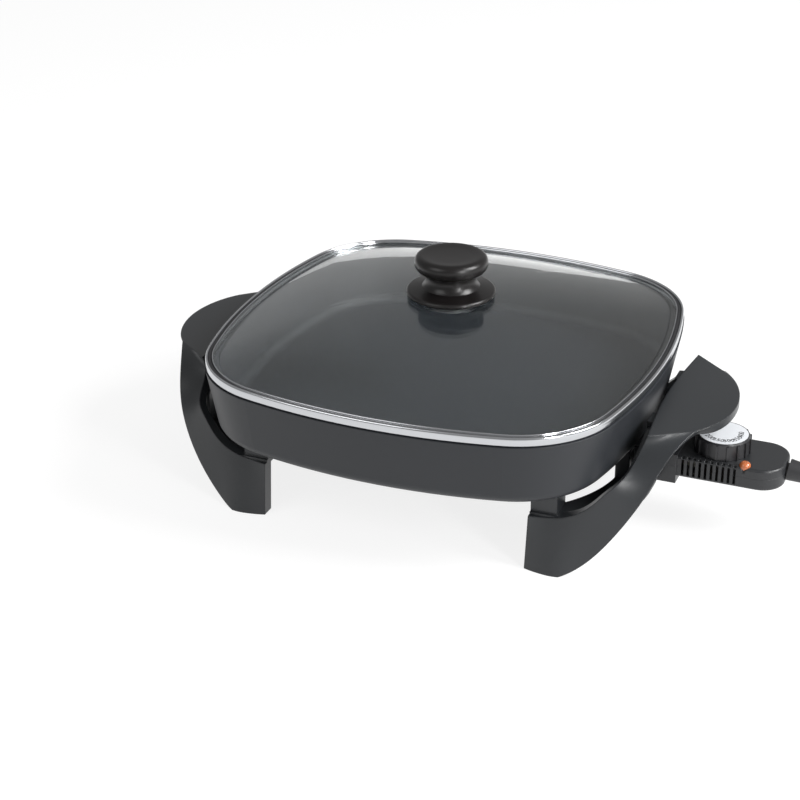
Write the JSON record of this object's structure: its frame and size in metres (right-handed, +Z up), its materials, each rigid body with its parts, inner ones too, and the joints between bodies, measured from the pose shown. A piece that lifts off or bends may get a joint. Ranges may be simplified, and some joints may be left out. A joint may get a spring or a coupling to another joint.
{
  "type": "electric skillet",
  "caption": "Square electric skillet with a domed glass lid and knob, two leg handles with flat grips, and a plug-in heat control with a dial, probe and mains cord.",
  "frame": {"origin": "on the surface the feet stand on, under the middle of the skillet's box from the left grip's edge to the control's outer end, without the cord", "axes": "+Z up, +X towards the heat control and its cord, -Y towards the front"},
  "size_m": [0.5795, 0.3797, 0.17],
  "materials": {
    "nonstick": "satin dark coating on cast aluminium",
    "steel": "dull steel",
    "ceramic": null,
    "plated": "plated steel",
    "phenolic": "satin moulded phenolic",
    "glass": "clear tempered glass",
    "bright_steel": "bright rolled steel",
    "knob_phenolic": "glossy phenolic",
    "silicone": "silicone",
    "control_plastic": "moulded heat-resistant plastic",
    "contact_brass": "plain",
    "amber_lens": "translucent amber",
    "lamp_glass": "neon lamp",
    "cord_rubber": "satin black jacket",
    "dial_plastic": "ribbed plastic",
    "dial_print": "pale printed face"
  },
  "bodies": {
    "base": {"pan": "nonstick", "heating_element": "steel", "element_seals": "ceramic", "terminal_pins": "plated", "terminal_guard": "steel", "guard_screws": "plated", "handle_right": "phenolic", "handle_left": "phenolic", "handle_screws": "plated"},
    "lid": {"lid_glass": "glass", "lid_band": "bright_steel", "knob_base": "knob_phenolic", "knob_cap": "knob_phenolic", "knob_gasket": "silicone", "knob_washer": "steel", "knob_screw": "plated"},
    "control": {"control_base": "control_plastic", "control_cover": "control_plastic", "control_screws": "plated", "probe_rod": "steel", "switch_block": "ceramic", "fixed_contact_leaf": "contact_brass", "moving_contact_leaf": "contact_brass", "contact_sleeves": "contact_brass", "indicator_lens": "amber_lens", "indicator_lamp": "lamp_glass", "strain_relief": "cord_rubber", "cord": "cord_rubber", "cord_coil": "cord_rubber", "cord_tail": "cord_rubber", "plug_body": "cord_rubber", "plug_blades": "plated"},
    "dial": {"dial_skirt": "dial_plastic", "dial_face": "dial_print", "dial_shaft": "contact_brass"}
  },
  "joints": [
    {"name": "lid_lift", "type": "slide", "parent": "base", "child": "lid", "axis": [0, 0, 1], "range_m": [0, 0.15]},
    {"name": "control_pull", "type": "slide", "parent": "base", "child": "control", "axis": [1, 0, 0], "range_m": [0, 0.07]},
    {"name": "dial_turn", "type": "hinge", "parent": "control", "child": "dial", "pos_m": [0.182, 0, 0.06], "axis": [0, 0, 1], "range_deg": [-150, 120]}
  ]
}
